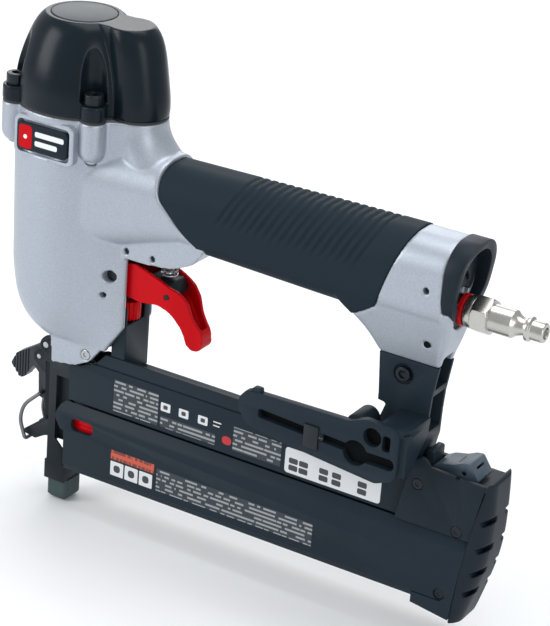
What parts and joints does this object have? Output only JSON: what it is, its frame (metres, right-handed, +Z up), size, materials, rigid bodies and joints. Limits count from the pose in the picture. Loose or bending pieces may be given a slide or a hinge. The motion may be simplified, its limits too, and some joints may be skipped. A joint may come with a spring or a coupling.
{
  "type": "pneumatic brad nailer",
  "caption": "Air-powered nail gun with a capped cylinder, ribbed grip, trigger, safety tip, rear-loading magazine, belt hook and quick-connect plug.",
  "frame": {"origin": "centre of the no-mar tip's bottom face, on the driver axis", "axes": "+Z up the driver axis to the cap, +X rearward along the handle and magazine, -Y the tool's left side, with the belt hook"},
  "size_m": [0.2615, 0.0576, 0.2358],
  "materials": {
    "casting": "satin",
    "cap_black": "satin",
    "seal_rubber": "matte",
    "black_bolt": "satin",
    "badge": "gloss",
    "inner_aluminium": "machined",
    "bumper_rubber": "matte",
    "inner_steel": "satin",
    "inner_plastic": "matte",
    "spring_steel": "satin",
    "grip_rubber": "matte",
    "black_plastic": "matte",
    "red_seal": "gloss",
    "nickel": "bright",
    "red_plastic": "gloss",
    "slate_paint": "satin",
    "dark_steel": "satin",
    "pad_rubber": "matte",
    "dark_plastic": "matte",
    "latch_grey": "satin"
  },
  "bodies": {
    "tool": {"housing_body": "casting", "cylinder_cap": "cap_black", "cap_top_pad": "cap_black", "cap_gasket": "seal_rubber", "cap_bolts": "black_bolt", "badge_plate": "badge", "cylinder_sleeve": "inner_aluminium", "sleeve_oring": "seal_rubber", "bumper": "bumper_rubber", "grip_sleeve": "grip_rubber", "handle_end_cap": "black_plastic", "exhaust_muffler": "black_plastic", "plug_seal_ring": "red_seal", "air_plug": "nickel", "trigger_pivot_pin": "inner_steel", "trigger_valve_body": "inner_plastic", "roll_pins": "inner_steel", "linkage_guard": "slate_paint", "nosepiece": "dark_steel", "door_pin": "inner_steel", "nose_screws": "black_bolt", "fixed_magazine": "slate_paint", "rear_bracket": "slate_paint", "bracket_screw": "black_bolt", "belt_hook": "slate_paint", "hook_clip": "spring_steel", "hook_knob": "black_plastic"},
    "piston": {"piston": "inner_aluminium", "piston_ring": "seal_rubber", "driver_blade": "inner_steel"},
    "head_valve": {"head_valve": "inner_plastic", "head_valve_spring": "spring_steel"},
    "trigger": {"trigger": "red_plastic", "lever_pin": "inner_steel", "trigger_lever": "inner_steel"},
    "valve_stem": {"trigger_valve_stem": "inner_steel", "trigger_spring": "spring_steel"},
    "safety_trip": {"contact_trip": "dark_steel", "no_mar_pad": "pad_rubber", "trip_spring": "spring_steel"},
    "depth_wheel": {"depth_wheel": "red_plastic"},
    "nose_door": {"nose_door": "dark_steel", "lever_pivot_pin": "inner_steel"},
    "jam_lever": {"jam_latch_lever": "dark_plastic"},
    "bail": {"wire_bail": "spring_steel"},
    "magazine": {"sliding_magazine": "slate_paint", "rear_cover": "black_plastic", "cover_screws": "black_bolt", "magazine_end_cap": "black_plastic", "latch_pin": "inner_steel"},
    "mag_latch": {"magazine_latch": "latch_grey"},
    "pusher": {"pusher": "inner_steel"}
  },
  "joints": [
    {"name": "piston_stroke", "type": "slide", "parent": "tool", "child": "piston", "axis": [0, 0, -1], "range_m": [0, 0.07]},
    {"name": "head_valve_lift", "type": "slide", "parent": "tool", "child": "head_valve", "axis": [0, 0, 1], "range_m": [0, 0.004], "stiffness_N_per_m": 800, "springref_m": -0.004, "deforming": ["head_valve_spring"]},
    {"name": "trigger_pull", "type": "hinge", "parent": "tool", "child": "trigger", "pos_m": [0.0294, 0, 0.1246], "axis": [0, -1, 0], "range_deg": [0, 7], "stiffness_Nm_per_rad": 0.6, "springref_deg": -5.73},
    {"name": "valve_stem_lift", "type": "slide", "parent": "tool", "child": "valve_stem", "axis": [0, 0, 1], "range_m": [0, 0.003], "deforming": ["trigger_spring"]},
    {"name": "safety_press", "type": "slide", "parent": "tool", "child": "safety_trip", "axis": [0, 0, 1], "range_m": [0, 0.008], "stiffness_N_per_m": 400, "springref_m": -0.01, "deforming": ["trip_spring"]},
    {"name": "depth_wheel_turn", "type": "hinge", "parent": "tool", "child": "depth_wheel", "pos_m": [0.0302, 0, 0.1053], "axis": [0, 0, 1], "continuous": true},
    {"name": "nose_door_open", "type": "hinge", "parent": "tool", "child": "nose_door", "pos_m": [-0.009, 0, 0.077], "axis": [0, 1, 0], "range_deg": [0, 35]},
    {"name": "jam_lever_open", "type": "hinge", "parent": "nose_door", "child": "jam_lever", "pos_m": [-0.014, 0, 0.069], "axis": [0, 1, 0], "range_deg": [0, 55]},
    {"name": "bail_swing", "type": "hinge", "parent": "jam_lever", "child": "bail", "pos_m": [-0.012, 0, 0.051], "axis": [0, 1, 0], "range_deg": [0, 40]},
    {"name": "magazine_draw", "type": "slide", "parent": "tool", "child": "magazine", "axis": [1, 0, 0], "range_m": [0, 0.14]},
    {"name": "magazine_latch_press", "type": "hinge", "parent": "magazine", "child": "mag_latch", "pos_m": [0.2054, 0, 0.0826], "axis": [0, 1, 0], "range_deg": [0, 8], "stiffness_Nm_per_rad": 0.2, "springref_deg": -17.19},
    {"name": "pusher_travel", "type": "slide", "parent": "magazine", "child": "pusher", "axis": [1, 0, 0], "range_m": [0, 0.1], "stiffness_N_per_m": 15, "springref_m": -0.15}
  ],
  "couplings": [
    {"joint": "valve_stem_lift", "follows": "trigger_pull", "m_per_rad": 0.0216}
  ]
}
